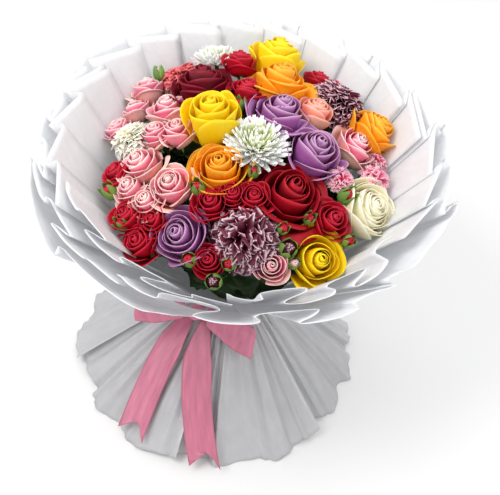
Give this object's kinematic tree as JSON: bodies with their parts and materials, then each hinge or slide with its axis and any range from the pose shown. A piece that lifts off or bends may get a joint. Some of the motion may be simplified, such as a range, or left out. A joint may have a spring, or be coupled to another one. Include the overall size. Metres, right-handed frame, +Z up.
{
  "type": "mixed flower bouquet",
  "caption": "Round hand-tied bouquet of mixed roses, carnations and chrysanthemums in a pleated white paper wrap with a paper skirt and a pink satin bow.",
  "frame": {"origin": "on the table under the centre of the bouquet, in the plane of the level-cut stem ends", "axes": "+Z up along the middle stem, front of the bouquet and its bow towards -Y, +X to the viewer's right"},
  "size_m": [0.4472, 0.4536, 0.3922],
  "materials": {
    "burgundy_petal": "deep burgundy rose petals, velvety, darker towards the heart",
    "red_petal": "crimson rose petals, velvety, with a soft sheen",
    "yellow_petal": "bright yellow rose petals",
    "orange_petal": "orange rose petals, yellower at the rims",
    "lavender_petal": "dusty lavender rose petals with paler rims",
    "cream_petal": "cream petals, warmer at the heart",
    "white_petal": "white petals, greenish at the heart",
    "coral_petal": "coral pink frilled petals",
    "speckled_petal": "burgundy frilled petals with ragged pinkish white edges",
    "pink_petal": "pink petals, deeper at the heart and creamy at the rims",
    "blush_petal": "blush pink petals, deeper at the heart",
    "salmon_petal": "salmon pink petals",
    "collar_paper": "translucent frosted white wrapping paper, soft satin face",
    "skirt_paper": "thin translucent frosted wrapping paper, cooler and greyer",
    "satin_ribbon": "dusty pink satin ribbon with a soft sheen along the weft",
    "gilt": "thin gilt foil edging, polished",
    "twine": "twisted natural jute twine"
  },
  "bodies": {
    "root": {"rose_burgundy": "burgundy_petal", "rose_yellow_mid": "yellow_petal", "rose_yellow_back": "yellow_petal", "rose_yellow_front": "yellow_petal", "rose_orange_mid": "orange_petal", "rose_orange_back": "orange_petal", "rose_orange_right": "orange_petal", "rose_lavender_back": "lavender_petal", "rose_lavender_mid": "lavender_petal", "rose_lavender_front": "lavender_petal", "rose_red_large": "red_petal", "rose_cream_right": "cream_petal", "carnation_speckled_back": "speckled_petal", "carnation_speckled_front": "speckled_petal", "carnation_coral": "coral_petal", "carnation_cream_left": "cream_petal", "chrysanthemum_centre": "white_petal", "chrysanthemum_back": "white_petal", "spray_rose_pink_left": "pink_petal", "spray_rose_blush_left": "blush_petal", "spray_rose_pink_back": "pink_petal", "spray_rose_pink_right": "pink_petal", "spray_carnation_pink_right": "pink_petal", "spray_rose_salmon_right": "salmon_petal", "spray_rose_pink_front": "pink_petal", "spray_rose_red_left": "red_petal", "spray_rose_red_front_left": "red_petal", "spray_rose_red_front": "red_petal", "spray_rose_red_middle": "red_petal", "spray_rose_red_back": "red_petal", "spray_rose_red_right": "red_petal", "spray_rose_red_back_right": "red_petal", "binding_twine": "twine", "ribbon_band": "satin_ribbon", "ribbon_knot": "satin_ribbon", "ribbon_loop_left": "satin_ribbon", "ribbon_loop_right": "satin_ribbon", "ribbon_tail_left": "satin_ribbon", "ribbon_tail_right": "satin_ribbon", "gilt_edge_trim": "gilt", "collar_back_1": "collar_paper", "collar_back_2": "collar_paper", "collar_back_3": "collar_paper", "collar_back_4": "collar_paper", "collar_back_5": "collar_paper", "collar_inner_left": "collar_paper", "collar_inner_right": "collar_paper", "collar_outer_front": "collar_paper", "collar_outer_right": "collar_paper", "collar_outer_back_right": "collar_paper", "collar_outer_back_left": "collar_paper", "collar_outer_left": "collar_paper", "collar_front_flap": "collar_paper", "skirt_1": "skirt_paper", "skirt_2": "skirt_paper", "skirt_3": "skirt_paper", "skirt_4": "skirt_paper", "skirt_5": "skirt_paper", "skirt_6": "skirt_paper"}
  },
  "joints": []
}
